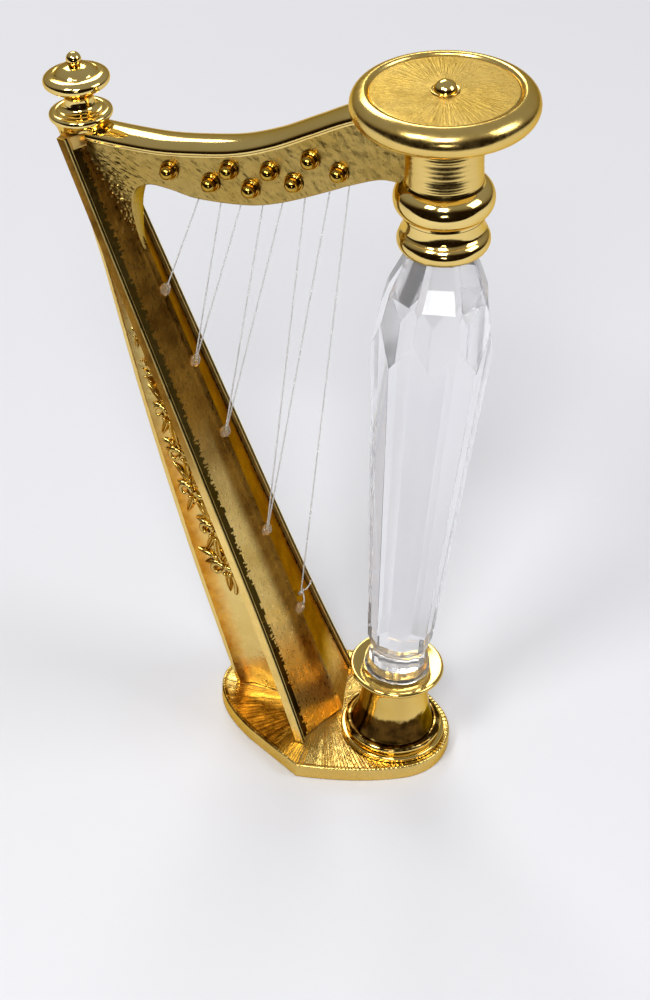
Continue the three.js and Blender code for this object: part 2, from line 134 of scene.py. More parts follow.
# ---------------------------------------------------------------- helpers
def spline(points, per):
    """Catmull-Rom curve through a list of tuples of any size."""
    result = []
    count = len(points)
    for i in range(count - 1):
        p0 = Vector(points[max(i - 1, 0)])
        p1 = Vector(points[i])
        p2 = Vector(points[i + 1])
        p3 = Vector(points[min(i + 2, count - 1)])
        for step in range(per):
            t = step / per
            result.append(0.5 * (2 * p1 + (p2 - p0) * t + (2 * p0 - 5 * p1 + 4 * p2 - p3) * t ** 2
                                 + (3 * p1 - p0 - 3 * p2 + p3) * t ** 3))
    result.append(Vector(points[-1]))
    return result


def even(points, count):
    """The same line cut into `count` equal steps."""
    lengths = [0.0]
    for a, b in zip(points, points[1:]):
        lengths.append(lengths[-1] + (b - a).length)
    result = []
    j = 0
    for i in range(count + 1):
        target = lengths[-1] * i / count
        while j < len(points) - 2 and lengths[j + 1] < target:
            j += 1
        span = lengths[j + 1] - lengths[j]
        t = (target - lengths[j]) / span if span else 0
        result.append(points[j].lerp(points[j + 1], unit(t)))
    return result


def arc(cx, cz, radius, start, end, steps, flatten=1.0):
    """Points of a round stretch of a profile, angles in degrees from the outward direction."""
    points = []
    for i in range(steps + 1):
        angle = math.radians(start + (end - start) * i / steps)
        points.append((cx + radius * math.cos(angle), cz + flatten * radius * math.sin(angle)))
    return points


def unit(value):
    """The value held between 0 and 1."""
    return min(1, max(0, value))


def grain(x, y, z, octaves=3):
    return noise.fractal(Vector((x, y, z)), 0.9, 2.1, octaves)


def granule(x, y, seed):
    """Height of the granular casting skin."""
    return max(0, noise.noise(Vector((x * 4.2, y * 4.2, seed)))) ** 0.8


def add_piece(name, bm, material, node, sharp=38):
    """Finishes one piece: its mesh is in millimetres until here."""
    bmesh.ops.recalc_face_normals(bm, faces=bm.faces)
    mesh = bpy.data.meshes.new(name)
    bm.to_mesh(mesh)
    bm.free()
    mesh.transform(Matrix.Scale(MM, 4))
    mesh.shade_smooth()
    mesh.set_sharp_from_angle(angle=math.radians(sharp))
    mesh.materials.append(material)
    piece = add_object(name, mesh)
    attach(piece, "root")
    nodes = [node] if isinstance(node, str) else node
    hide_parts(*nodes)
    return piece


def ring_mesh(rings):
    """Mesh through a list of closed rings of points; the ends are capped with one face each."""
    bm = bmesh.new()
    layers = [[bm.verts.new(point) for point in ring] for ring in rings]
    count = len(rings[0])
    for a, b in zip(layers, layers[1:]):
        for i in range(count):
            j = (i + 1) % count
            bm.faces.new((a[i], a[j], b[j], b[i]))
    bm.faces.new(layers[0])
    bm.faces.new(layers[-1])
    return bm


def turned_mesh(profile, segments=128):
    """Mesh turned about Z; a profile point on the axis becomes one vertex."""
    bm = bmesh.new()
    layers = []
    for radius, z in profile:
        if radius < 1e-4:
            layers.append([bm.verts.new((0, 0, z))])
            continue
        ring = []
        for i in range(segments):
            angle = 2 * math.pi * i / segments
            ring.append(bm.verts.new((radius * math.cos(angle), radius * math.sin(angle), z)))
        layers.append(ring)
    for a, b in zip(layers, layers[1:]):
        for i in range(segments):
            j = (i + 1) % segments
            corners = [a[i % len(a)], a[j % len(a)], b[j % len(b)], b[i % len(b)]]
            unique = list(dict.fromkeys(corners))
            if len(unique) > 2:
                bm.faces.new(unique)
    return bm


def moved(bm, matrix):
    bmesh.ops.transform(bm, matrix=matrix, verts=bm.verts)
    return bm


def standing(x, z, tilt):
    """Place of an upright stack of turned pieces that leans by `tilt` in the harp's plane."""
    return Matrix.Translation((x, 0, z)) @ Matrix.Rotation(math.radians(tilt), 4, "Y")


def turned_piece(node, profile, place, material, segments=128):
    """A turned piece that stands at `place` and is named after its node."""
    bm = moved(turned_mesh(profile, segments), place)
    add_piece(f"{node}_visual", bm, material, node)


def tube_mesh(points, radius, sides, taper=None):
    """Round tube along a list of points, closed at both ends; `taper` scales its radius."""
    rings = []
    side = None
    for i, point in enumerate(points):
        ahead = points[min(i + 1, len(points) - 1)] - points[max(i - 1, 0)]
        ahead.normalize()
        if side is None:
            side = ahead.orthogonal().normalized()
        side = (side - ahead * side.dot(ahead)).normalized()
        other = ahead.cross(side)
        size = radius * (taper(i / (len(points) - 1)) if taper else 1)
        ring = []
        for k in range(sides):
            angle = 2 * math.pi * k / sides
            ring.append(point + size * (math.cos(angle) * side + math.sin(angle) * other))
        rings.append(ring)
    return ring_mesh(rings)


def join(target, other, matrix=None):
    """Adds the faces of one bmesh to another."""
    if matrix is not None:
        moved(other, matrix)
    copy = {}
    for vert in other.verts:
        copy[vert] = target.verts.new(vert.co)
    for face in other.faces:
        target.faces.new([copy[vert] for vert in face.verts])
    other.free()


# ---------------------------------------------------------------- materials
def set_stops(bar, stops):
    """Fills a new colour ramp with (position, colour) stops."""
    while len(bar.elements) < len(stops):
        bar.elements.new(0.5)
    for element, (position, colour) in zip(bar.elements, stops):
        element.position = position
        element.color = (*colour, 1)


class Shader:
    """Short way to wire a Principled material. Noise scales are per metre."""

    def __init__(self, name, material=None):
        self.material = material or bpy.data.materials.new(name)
        self.material.use_nodes = True
        self.tree = self.material.node_tree
        self.body = self.tree.nodes["Principled BSDF"]
        self.place = self.node("TexCoord")

    def node(self, kind):
        return self.tree.nodes.new(f"ShaderNode{kind}")

    def wire(self, output, socket):
        self.tree.links.new(output, socket)

    def set(self, **values):
        for socket, value in values.items():
            self.body.inputs[socket.replace("_", " ")].default_value = value
        return self

    def mapped(self, scale, rotation):
        node = self.node("Mapping")
        node.inputs["Scale"].default_value = scale
        node.inputs["Rotation"].default_value = rotation
        self.wire(self.place.outputs["Object"], node.inputs["Vector"])
        return node.outputs["Vector"]

    def noise(self, scale, detail, rough, vector=None):
        node = self.node("TexNoise")
        node.inputs["Scale"].default_value = scale
        node.inputs["Detail"].default_value = detail
        node.inputs["Roughness"].default_value = rough
        self.wire(vector or self.place.outputs["Object"], node.inputs["Vector"])
        return node.outputs["Fac"]

    def ramp(self, factor, stops):
        node = self.node("ValToRGB")
        set_stops(node.color_ramp, stops)
        self.wire(factor, node.inputs["Fac"])
        return node.outputs["Color"]

    def range(self, factor, low, high):
        """Spreads the middle of a noise over the values from low to high."""
        node = self.node("MapRange")
        node.inputs["To Min"].default_value = low
        node.inputs["To Max"].default_value = high
        node.inputs["From Min"].default_value = 0.3
        node.inputs["From Max"].default_value = 0.7
        self.wire(factor, node.inputs["Value"])
        return node.outputs["Result"]

    def between(self, value, start, end):
        """Fades from 0 at `start` to 1 at `end`."""
        node = self.node("MapRange")
        node.interpolation_type = "SMOOTHSTEP"
        node.inputs["From Min"].default_value = start
        node.inputs["From Max"].default_value = end
        self.wire(value, node.inputs["Value"])
        return node.outputs["Result"]

    def math(self, operation, a, b):
        node = self.node("Math")
        node.operation = operation
        node.use_clamp = True
        self.wire(a, node.inputs[0])
        self.wire(b, node.inputs[1])
        return node.outputs["Value"]

    def either(self, a, b):
        return self.math("MAXIMUM", a, b)

    def less(self, a, b):
        return self.math("SUBTRACT", a, b)

    def blend(self, factor, low, high):
        node = self.node("Mix")
        node.data_type = "RGBA"
        self.wire(factor, node.inputs["Factor"])
        self.wire(low, node.inputs["A"])
        self.wire(high, node.inputs["B"])
        return node.outputs["Result"]

    def link(self, output, socket):
        self.wire(output, self.body.inputs[socket])
        return self

    def bump(self, *layers):
        """Each layer is (height output, strength, distance in millimetres)."""
        normal = None
        for height, strength, distance in layers:
            node = self.node("Bump")
            node.inputs["Strength"].default_value = strength
            node.inputs["Distance"].default_value = distance * MM
            self.wire(height, node.inputs["Height"])
            if normal:
                self.wire(normal, node.inputs["Normal"])
            normal = node.outputs["Normal"]
        self.wire(normal, self.body.inputs["Normal"])
        return self


PALE_GOLD = (0.88, 0.67, 0.25)
DEEP_GOLD = (0.70, 0.45, 0.09)
EDGE_GOLD = (0.90, 0.68, 0.30, 1)
EDGE_WORN = (0.80, 0.53, 0.20, 1)
EDGE_DARK = (0.22, 0.11, 0.03, 1)
EDGE_BRONZE = (0.70, 0.48, 0.17, 1)
EDGE_COPPER = (0.80, 0.48, 0.18, 1)


def gold(name, rough, fine, coarse, deep=0.35, tone=1.0, edge=EDGE_GOLD):
    """Gold plate: fine grain, coarse waviness, and patches where the plating is deeper in colour.

    `deep` moves the colour from pale to deep gold, `tone` darkens it, and `edge` tints the gloss
    at grazing angles.
    """
    shader = Shader(name).set(Metallic=1.0, Specular_Tint=edge)
    patches = shader.noise(180, 3, 0.6)
    low, high = (tuple(tone * (a + (b - a) * share) for a, b in zip(PALE_GOLD, DEEP_GOLD))
                 for share in (deep, deep - 0.35))
    shader.link(shader.ramp(patches, [(0.30, low), (0.62, high)]), "Base Color")
    wear = shader.noise(900, 5, 0.7)
    shader.link(shader.range(wear, rough * 0.7, rough * 1.35), "Roughness")
    shader.bump((shader.noise(650, 2, 0.5), coarse, 0.08), (shader.noise(5200, 3, 0.6), fine, 0.02))
    return shader.material


def streaked_gold(name, rough, scale, rotation, fine):
    """Gold plate with brush marks along one direction.

    Its colour is painted light: brown towards the top and the far side is painted shade, and bright
    on the lower near side and at the foot is a painted reflection of the floor.
    """
    shader = Shader(name).set(Metallic=1.0, Specular_Tint=EDGE_WORN)
    marks = shader.noise(420, 6, 0.65, shader.mapped(scale, rotation))
    patches = shader.noise(260, 4, 0.6)
    bright = shader.ramp(patches, [(0.28, (0.74, 0.50, 0.13)), (0.6, (0.97, 0.71, 0.25))])
    brown = shader.ramp(patches, [(0.28, (0.13, 0.055, 0.007)), (0.6, (0.36, 0.18, 0.026))])
    split = shader.node("SeparateXYZ")
    shader.wire(shader.place.outputs["Object"], split.inputs["Vector"])
    across = shader.between(split.outputs["Y"], -2.3 * MM, -1.0 * MM)
    up = shader.between(split.outputs["Z"], 24 * MM, 37 * MM)
    foot = shader.between(split.outputs["Z"], 9 * MM, 4 * MM)
    # Painted shade mask: brown at the top and the far side; the foot stays bright as a painted
    # reflection.
    painted_shade_mask = shader.either(across, up)
    shader.link(shader.blend(shader.less(painted_shade_mask, foot), bright, brown), "Base Color")
    shader.link(shader.range(marks, rough * 0.6, rough * 1.4), "Roughness")
    shader.bump((marks, fine, 0.05), (shader.noise(2400, 2, 0.5), 0.8, 0.04),
                (shader.noise(4200, 3, 0.6), fine * 0.7, 0.02))
    return shader.material


def painted_reflection_gold(name, rough, fine, coarse, bounds, wobble, reflection_colours, deep=0.8):
    """Gold with painted light: another colour inside a soft-edged region stands in for a
    reflection.

    Each of `bounds` is (direction, start, end): the region fades in from start to end, in
    millimetres along the direction. `wobble` is how far its edge wanders, per axis.
    """
    shader = Shader(name, gold(name, rough, fine, coarse, deep, 0.95))
    plain = shader.body.inputs["Base Color"].links[0].from_socket
    ragged = shader.node("VectorMath")
    ragged.operation = "MULTIPLY_ADD"
    wave = shader.node("TexNoise")
    wave.inputs["Scale"].default_value = 1100
    shader.wire(shader.place.outputs["Object"], wave.inputs["Vector"])
    shader.wire(wave.outputs["Color"], ragged.inputs[0])
    ragged.inputs[1].default_value = [amount * MM for amount in wobble]
    shader.wire(shader.place.outputs["Object"], ragged.inputs[2])
    reflection_mask = None
    for direction, start, end in bounds:
        along = shader.node("VectorMath")
        along.operation = "DOT_PRODUCT"
        along.inputs[1].default_value = direction
        shader.wire(ragged.outputs["Vector"], along.inputs[0])
        part = shader.between(along.outputs["Value"], start * MM, end * MM)
        reflection_mask = part if reflection_mask is None else shader.math("MULTIPLY", reflection_mask, part)
    # Colours of the painted reflection, darker and lighter.
    low, high = reflection_colours
    inner = shader.ramp(shader.noise(700, 4, 0.6), [(0.35, low), (0.7, high)])
    shader.link(shader.blend(reflection_mask, plain, inner), "Base Color")
    return shader.material


def crystal_material():
    shader = Shader("cut_crystal").set(Transmission_Weight=0.92, IOR=1.45, Roughness=0.01)
    tint = shader.noise(60, 2, 0.5)
    milky = shader.ramp(tint, [(0.3, (0.95, 0.955, 0.985)), (0.7, (0.98, 0.98, 0.99))])
    shader.link(milky, "Base Color")
    shader.bump((shader.noise(300, 2, 0.5), 0.02, 0.02))
    return shader.material


def thread_material():
    shader = Shader("clear_thread").set(Transmission_Weight=0.7, IOR=1.5, Coat_Weight=0.3)
    along = shader.noise(900, 3, 0.6)
    colour = shader.ramp(along, [(0.3, (0.74, 0.74, 0.72)), (0.7, (0.94, 0.94, 0.92))])
    shader.link(colour, "Base Color")
    shader.link(shader.range(along, 0.12, 0.3), "Roughness")
    return shader.material


def glue_material(name, clear, low, high):
    shader = Shader(name).set(Transmission_Weight=clear, IOR=1.4)
    cloud = shader.noise(1400, 4, 0.6)
    shader.link(shader.ramp(cloud, [(0.3, low), (0.7, high)]), "Base Color")
    shader.link(shader.range(cloud, 0.02, 0.12), "Roughness")
    shader.bump((shader.noise(1500, 3, 0.6), 0.3, 0.05))
    return shader.material


POLISHED = gold("polished_gold", 0.10, 0.10, 0.10)
SOFT = gold("soft_polished_gold", 0.2, 0.16, 0.25, 0.6)
SATIN = gold("satin_gold", 0.36, 0.4, 0.3)
RELIEF = gold("relief_gold", 0.14, 0.1, 0.3, 0.9, 0.75)
# Painted shade: near-black gold for the grooves and the field beside the lips.
SHADOWED = gold("dark_groove_gold", 0.3, 0.9, 0.5, 1.2, 0.1, EDGE_DARK)
HAMMERED = gold("hammered_gold", 0.27, 0.7, 0.8, 0.9, 0.62, EDGE_BRONZE)
PIN = gold("bead_gold", 0.13, 0.1, 0.15, 1.35, 0.72, EDGE_COPPER)
FIELD = gold("spun_gold", 0.40, 0.5, 0.2, 0.8, 0.55)
BRUSHED = streaked_gold("brushed_gold", 0.32, (9, 9, 0.7), (0, math.radians(-23.7), 0), 0.55)
# Painted dark reflection: dark brown on the near side of the plate's rear lobe.
RADIAL = painted_reflection_gold(
    "sunburst_gold", 0.24, 0.45, 0.2,
    [((1, 0, 0), -7.4, -9.6), ((0, 1, 0), -0.8, -2.6), ((0, 0, 1), 1.5, 1.58)],
    (1.2, 1.2, 0), ((0.09, 0.04, 0.006), (0.34, 0.18, 0.03)))
# Painted dark reflection: a dark brown band round the lower half of the bell.
BELL = painted_reflection_gold(
    "bell_gold", 0.10, 0.10, 0.10, [((0, 0, 1), 6.7, 6.2), ((0, 0, 1), 3.5, 3.8)],
    (0, 0, 1.2), ((0.03, 0.014, 0.003), (0.14, 0.07, 0.012)))
# Painted reflection: an orange glow of light reflected from the gold, low on the web near the back.
WEB = painted_reflection_gold(
    "flange_gold", 0.3, 0.4, 0.3, [((0.953, 0, 0.304), -13.2, -15.4), ((0, 0, 1), 38, 26)],
    (1.0, 0, 1.0), ((0.60, 0.22, 0.012), (0.84, 0.42, 0.05)), 0.45)
CRYSTAL = crystal_material()
THREAD = thread_material()
GLUE = glue_material("clear_glue", 0.96, (0.95, 0.88, 0.76), (0.99, 0.97, 0.93))
DROP = glue_material("amber_glue", 0.86, (0.95, 0.74, 0.36), (1.0, 0.95, 0.80))


# ---------------------------------------------------------------- base plate
def bow(a, b, c, steps):
    """Points from a to c along a curve that is pulled towards b."""
    points = []
    for i in range(steps + 1):
        t = i / steps
        points.append(tuple((1 - t) ** 2 * a[k] + 2 * t * (1 - t) * b[k] + t * t * c[k]
                            for k in range(2)))
    return points


def base_outline(turn):
    """Distance from the middle of the plate to its edge, in the direction `turn`."""
    turns = (0.925 * i / 14 for i in range(15))
    nose = [(-0.2 + 6.2 * math.cos(a), 6.2 * math.sin(a)) for a in turns]
    side = bow((3.53, 4.95), (-0.4, 7.95), BASE_SHOULDER, 12)[1:]
    rear = bow(BASE_REAR, (-19.3, 4), (-19.4, 0), 12)
    path = [*nose, *side, *rear]
    direction = Vector((math.cos(turn), abs(math.sin(turn))))
    for a, b in zip(path, path[1:]):
        start = Vector(a) - Vector((BASE_MIDDLE, 0))
        span = Vector(b) - Vector(a)
        cross = direction.x * span.y - direction.y * span.x
        if abs(cross) < 1e-9:
            continue
        reach = (start.x * span.y - start.y * span.x) / cross
        along = (start.x * direction.y - start.y * direction.x) / cross
        if -1e-6 <= along <= 1 + 1e-6 and reach > 0:
            return reach
    return 6.0


def base_plate():
    """Flat plate with a polished rim and a top cut with fine rays."""
    rays = 1080
    inner = 46
    rim = [(-0.30, PLATE - 0.02), (-0.22, PLATE + 0.01), (-0.1, PLATE - 0.03),
           (-0.02, PLATE - 0.12), (0, PLATE - 0.3), (0, 0.9), (0, 0.22), (-0.05, 0.06), (-0.2, 0)]
    bm = bmesh.new()
    top = bm.verts.new((BASE_MIDDLE, 0, PLATE - 0.04))
    bottom = bm.verts.new((BASE_MIDDLE, 0, 0))
    columns = []
    for i in range(rays):
        turn = 2 * math.pi * i / rays
        reach = base_outline(turn)
        cos, sin = math.cos(turn), math.sin(turn)
        ray = 0.4 * math.sin(turn * 170) + grain(cos * 55, sin * 55, 3, 2)
        column = []
        for k in range(1, inner + 1):
            r = (reach - 0.36) * k / inner
            x = BASE_MIDDLE + r * cos
            y = r * sin
            cut = 0.03 * ray * min(1, r / 4) + 0.018 * grain(x * 0.9, y * 0.9, 1)
            near_column = max(0, 1 - abs(math.hypot(x, y) - 7) / 4)
            cut += (0.012 + 0.03 * near_column) * grain(x * 5, y * 5, 5, 2)
            column.append(bm.verts.new((x, y, PLATE - 0.06 + cut)))
        for offset, z in rim:
            r = reach + offset
            nick = 0.035 * ray if z > PLATE - 0.2 else 0
            column.append(bm.verts.new((BASE_MIDDLE + r * cos, r * sin, z + nick)))
        columns.append(column)
    for i in range(rays):
        a, b = columns[i], columns[(i + 1) % rays]
        bm.faces.new((top, a[0], b[0]))
        for k in range(len(a) - 1):
            bm.faces.new((a[k], a[k + 1], b[k + 1], b[k]))
        bm.faces.new((bottom, b[-1], a[-1]))
    add_piece("base_plate_visual", bm, RADIAL, "base_plate", 60)


# ---------------------------------------------------------------- soundbox
def lip_x(z):
    """x of the lips at height z."""
    return FOOT_X - LEAN * (z - PLATE)


def board_half(z):
    """Half the board's width at height z; it flares at the foot."""
    t = (z - PLATE) / (HEAD_Z - PLATE)
    flare = max(0, 1 - t / 0.3)
    return 5.85 - 2.5 * t + 0.75 * flare * flare


def field_point(y, z, lift):
    """Point `lift` in front of the board's field."""
    edge = board_half(z) - LIP
    x = lip_x(z) + CREASE - (CREASE + FIELD_DROP) * abs(y) / edge
    return Vector((x + lift, y, z))


def crust(y, z):
    """Granular casting skin: thick near the neck, thin in the channels and over the far half."""
    edge = board_half(z) - LIP
    high = unit((z - 46) / 9) * max(0, 1 - abs(y - 0.2) / 2.3)
    channel = max(0, 1 - (edge - abs(y)) / 0.7) * 0.5
    far = 0.5 if y > 0.25 else 0
    fine = noise.noise(Vector((y * 8, z * 8, 3)))
    return ((1.5 * high + channel) * 0.2 * granule(y, z, 9)
            + (0.35 * high + channel + far) * 0.05 * fine)


def board_ring(z):
    """Section of the board at height z: a double-beaded lip, the field with its rib, a lip."""
    half = board_half(z)
    edge = half - LIP
    front = lip_x(z)
    near = [(-half, -BOARD_BACK), (-half, -0.12), (-half + 0.03, -0.03), (-half + 0.07, 0),
            (-half + 0.12, -0.03), (-half + 0.15, -0.2), (-half + 0.38, -0.2),
            (-half + 0.41, -0.03), (-half + 0.46, 0), (-edge - 0.04, -0.03),
            (-edge + 0.02, -FIELD_DROP)]
    closing = unit((z - HEAD_Z + 1.35) / 0.25)
    field = []
    steps = 44
    for i in range(1, steps):
        y = -edge + 2 * edge * i / steps
        share = abs(y) / edge
        hollow = (0.17 if y < 0 else 0.03) * math.sin(math.pi * share)
        rib = 0.12 * math.exp(-(y / 0.15) ** 2) - 0.07 * math.exp(-((abs(y) - 0.34) / 0.12) ** 2)
        x = CREASE - (CREASE + FIELD_DROP) * share - hollow + rib
        x += 0.016 * grain(y * 5, z * 0.5, 2) + crust(y, z)
        field.append((y, x + (max(x, CREASE * (1 - share)) - x) * closing))
    far = [(-y, x) for y, x in reversed(near)]
    outline = near + field + far
    return [Vector((front + x, y, z)) for y, x in outline]


def soundboard():
    """The board; its faces are brushed on the field, satin on the lips and painted dark as painted
    shade in the grooves and beside the lips.
    """
    brushed, satin, dark = 0, 1, 2
    stations = 420
    low = PLATE + GAP
    rings = [board_ring(low + (HEAD_Z - low) * i / stations) for i in range(stations + 1)]
    bm = ring_mesh(rings)
    for face in bm.faces:
        middle = face.calc_center_median()
        inside = board_half(middle.z) - LIP - abs(middle.y)
        ragged = 1.0 + 0.45 * noise.noise(Vector((middle.y * 2, middle.z * 4, 6)))
        if middle.z > HEAD_Z - 1.2 or inside < 0.03:
            # Painted shade in the groove between the lip's two beads.
            groove = -0.41 < inside < -0.14
            side = middle.x < lip_x(middle.z) - 0.2 and inside < -0.5
            face.material_index = dark if groove else brushed if side else satin
        # Painted shade: a dark strip of the field beside each lip, wider on the near side.
        elif inside < (ragged if middle.y < 0 else 0.3 * ragged):
            face.material_index = dark
    board = add_piece("soundboard_visual", bm, BRUSHED, "soundboard", 50)
    board.data.materials.append(SATIN)
    board.data.materials.append(SHADOWED)


def spine_curve(count=140):
    """Rear edge of the soundbox, as x and z."""
    return even(spline(SPINE, 24), count)


def soundbox_web():
    """Thin wall behind the board, swelling into a fillet at the board and at the spine."""
    rings = []
    for point in spine_curve(320):
        rear = point.x + SPINE_DEPTH + GAP
        front = lip_x(point.y) - BOARD_BACK - GAP
        ring = []
        steps = 26
        depth = front - rear
        swell = min(0.72, depth * 0.3)
        for side in (-1, 1):
            part = []
            for i in range(steps + 1):
                t = i / steps
                x = rear + depth * t
                near_end = max(0, 1 - (x - rear) / (2.2 * swell)) ** 2
                near_board = max(0, 1 - (front - x) / (1.4 * swell)) ** 2
                y = WEB_HALF + swell * (near_end + 0.6 * near_board) - SKIN
                y += (0.012 * grain(x * 0.9, point.y * 0.9, side)
                      + 0.008 * grain(x * 4, point.y * 4, side))
                part.append(Vector((x, side * y, point.y)))
            ring += part if side < 0 else part[::-1]
        rings.append(ring)
    add_piece("soundbox_web_visual", ring_mesh(rings), WEB, "soundbox_web", 60)


def soundbox_spine():
    """Rounded flange down the back, with a faint ripple."""
    rings = []
    path = spine_curve(200)
    for i, point in enumerate(path):
        ahead = (path[min(i + 1, len(path) - 1)] - path[max(i - 1, 0)]).normalized()
        inside = 0 < i < len(path) - 1
        across = Vector((ahead.y, -ahead.x)) if inside else Vector((1, 0))
        ring = []
        half = arc(SPINE_HALF - 0.3, 0.32, 0.3, -80, 80, 6)
        for w, d in half + [(-w, d) for w, d in reversed(half)]:
            ripple = 0.02 * grain(w, point.y * 1.5, 4)
            spot = point + across * (d + ripple)
            ring.append(Vector((spot.x, w, spot.y)))
        rings.append(ring)
    bm = ring_mesh(rings)
    add_piece("soundbox_spine_visual", bm, SOFT, "soundbox_spine", 50)


def vine_line(z, points):
    """Where the vine climbs at height z."""
    rear = min(points, key=lambda point: abs(point.y - z))
    front = lip_x(z) - BOARD_BACK
    depth = front - rear.x - SPINE_DEPTH
    return front - (0.62 + 0.2 * unit((z - 29) / 11)) * depth


def leaf_mesh(length, width, height, bend):
    """Pointed leaf, domed, with a sunk midrib; it bends sideways towards its tip."""
    along, across = 16, 7
    top = []
    for i in range(along + 1):
        t = i / along
        half = width * math.sin(math.pi * t ** 0.75) ** 0.9 * 0.5 + 0.01
        row = []
        for k in range(-across, across + 1):
            s = k / across
            dome = (1 - abs(s) ** 2.4) * math.sin(math.pi * (0.05 + 0.92 * t)) ** 0.5
            rib = 0.45 * math.exp(-(s / 0.18) ** 2)
            row.append((length * t, half * s + bend * t * t, height * (dome - rib * dome)))
        top.append(row)
    bm = bmesh.new()
    upper = [[bm.verts.new(point) for point in row] for row in top]
    lower = [[bm.verts.new((x, y, -0.15)) for x, y, _ in row] for row in top]
    for i in range(along):
        for k in range(2 * across):
            bm.faces.new((upper[i][k], upper[i + 1][k], upper[i + 1][k + 1], upper[i][k + 1]))
            bm.faces.new((lower[i][k], lower[i][k + 1], lower[i + 1][k + 1], lower[i + 1][k]))
        bm.faces.new((upper[i][0], lower[i][0], lower[i + 1][0], upper[i + 1][0]))
        bm.faces.new((upper[i][-1], upper[i + 1][-1], lower[i + 1][-1], lower[i][-1]))
    bm.faces.new([*upper[0], *reversed(lower[0])])
    bm.faces.new([*upper[-1], *reversed(lower[-1])])
    return bm


def ball_mesh(radius):
    """Ball whose faces are sorted, because the operator leaves them in another order each run."""
    bm = bmesh.new()
    bmesh.ops.create_uvsphere(bm, u_segments=16, v_segments=8, radius=radius)
    bm.verts.index_update()
    count = len(bm.verts)
    bm.faces.sort(key=lambda face: sum(
        index * count ** k for k, index in enumerate(sorted(vert.index for vert in face.verts))))
    return bm


def curl_points(size, hand):
    """Scroll that leaves the stem sideways and winds once round a hollow."""
    points = []
    for i in range(22):
        t = i / 21
        turn = -math.pi / 2 + hand * 5.6 * t
        reach = size * (0.62 - 0.34 * t)
        y = hand * 0.75 * size + reach * math.sin(turn) * hand
        points.append(Vector((reach * math.cos(turn), y, 0)))
    return points


def upright(side):
    """Turns a flat leaf so that it lies in XZ and its height faces `side` along Y."""
    return Matrix(((1, 0, 0, 0), (0, 0, side, 0), (0, 1, 0, 0), (0, 0, 0, 1)))


def vine(name, node, side):
    """Climbing stem with scrolls, slender leaves and berries raised from one face of the web."""
    bm = bmesh.new()
    points = spine_curve()
    lift = WEB_HALF + 0.02
    stem = []
    for i in range(161):
        z = VINE_LOW + (VINE_HIGH - VINE_LOW) * i / 160
        swing = 0.45 * math.sin(2 * math.pi * VINE_WAVES * i / 160)
        stem.append(Vector((vine_line(z, points) + swing, side * lift, z)))
    join(bm, tube_mesh(stem, 0.19, 10, lambda t: 1.15 - 0.5 * t))
    leaves = ((24, 2.5, 0.7, 0.5), (158, 2.1, -0.3, -0.4), (62, 1.5, 0.5, 0.3))
    berries = ((-0.75, 0, 0.24), (-0.5, 0.42, 0.2), (-0.5, -0.42, 0.2), (1.1, 0.1, 0.2))
    for k in range(VINE_UNITS):
        index = round(8 + (k + 0.35) * 150 / VINE_UNITS)
        at = stem[index]
        ahead = stem[index + 2] - stem[index - 2]
        lean = math.atan2(ahead.z, ahead.x)
        size = 1.32 if at.z < 37 else 1.0
        here = Matrix.Translation(at) @ upright(side) @ Matrix.Rotation(lean, 4, "Z")
        for hand in (-1, 1):
            curl = tube_mesh(spline(curl_points(0.95 * size, hand), 3), 0.2 * size, 9,
                             lambda t: 1.2 - 0.5 * t)
            join(bm, curl, here @ Matrix.Translation((0.1 * size, 0, 0.2)))
            for turn, length, start, bend in leaves:
                leaf = leaf_mesh(length * size, 0.62 * size, 0.5, hand * bend * size * 0.5)
                root = Matrix.Translation((start * size, hand * 0.12 * size, 0))
                join(bm, leaf, here @ root @ Matrix.Rotation(hand * math.radians(turn), 4, "Z"))
        for along, across, radius in berries:
            spot = here @ Matrix.Translation((along * size, across * size, 0.24))
            join(bm, ball_mesh(radius * math.sqrt(size)), spot)
    # nothing of the vine comes through the flange or the board
    heights = [point.y for point in points]
    for vert in bm.verts:
        rear = points[min(len(points) - 1, bisect.bisect(heights, vert.co.z))].x
        end = lip_x(vert.co.z) - BOARD_BACK - 0.06
        vert.co.x = min(max(vert.co.x, rear + SPINE_DEPTH + 0.12), end)
    add_piece(name, bm, RELIEF, node, 45)


# ---------------------------------------------------------------- neck
def neck():
    """S-shaped plate with hammered faces, a rounded lower edge and granular skin at its foot."""
    columns = 420
    top_path = spline([(-28.7, 51.8), (-31.2, 57), (-33, 61.2), (-33.2, 63.4), *NECK_TOP[1:]], 12)
    top = even(top_path, columns)
    bottom = even(spline([(-27.95, 52), *reversed(NECK_BOTTOM)], 12), columns)
    rows = 30
    edge = 0.22
    rings = []
    for i in range(columns + 1):
        low, high = bottom[i], top[i]
        height = (high - low).length
        inward = (high - low).normalized()
        foot = unit((low.y - 52) / 8) if low.x < -26 else 1
        half = NECK_HALF - SKIN - 1.3 * (1 - foot) ** 1.1
        face = []
        for k in range(rows + 1):
            point = low + inward * (edge + (height - edge) * k / rows)
            dent = (0.035 * grain(point.x * 1.3, point.y * 1.3, 2)
                    + 0.018 * grain(point.x * 5, point.y * 5, 7))
            rough = unit((-point.x - 27.5) / 2.5) * unit((63.2 - point.y) / 2)
            dent += 0.22 * rough * granule(point.x, point.y, 2)
            face.append((point, half + min(0.06, dent) if rough == 0 else half + dent))
        corner = []
        for k in range(5):
            angle = math.pi / 2 * k / 5
            point = low + inward * edge * (1 - math.sin(angle))
            corner.append((point, half - edge + edge * math.cos(angle)))
        section = face[::-1] + corner
        near = [Vector((point.x, -y, point.y)) for point, y in section]
        far = [Vector((point.x, y, point.y)) for point, y in reversed(section)]
        rings.append(near + far)
    add_piece("neck_visual", ring_mesh(rings), HAMMERED, "neck", 50)


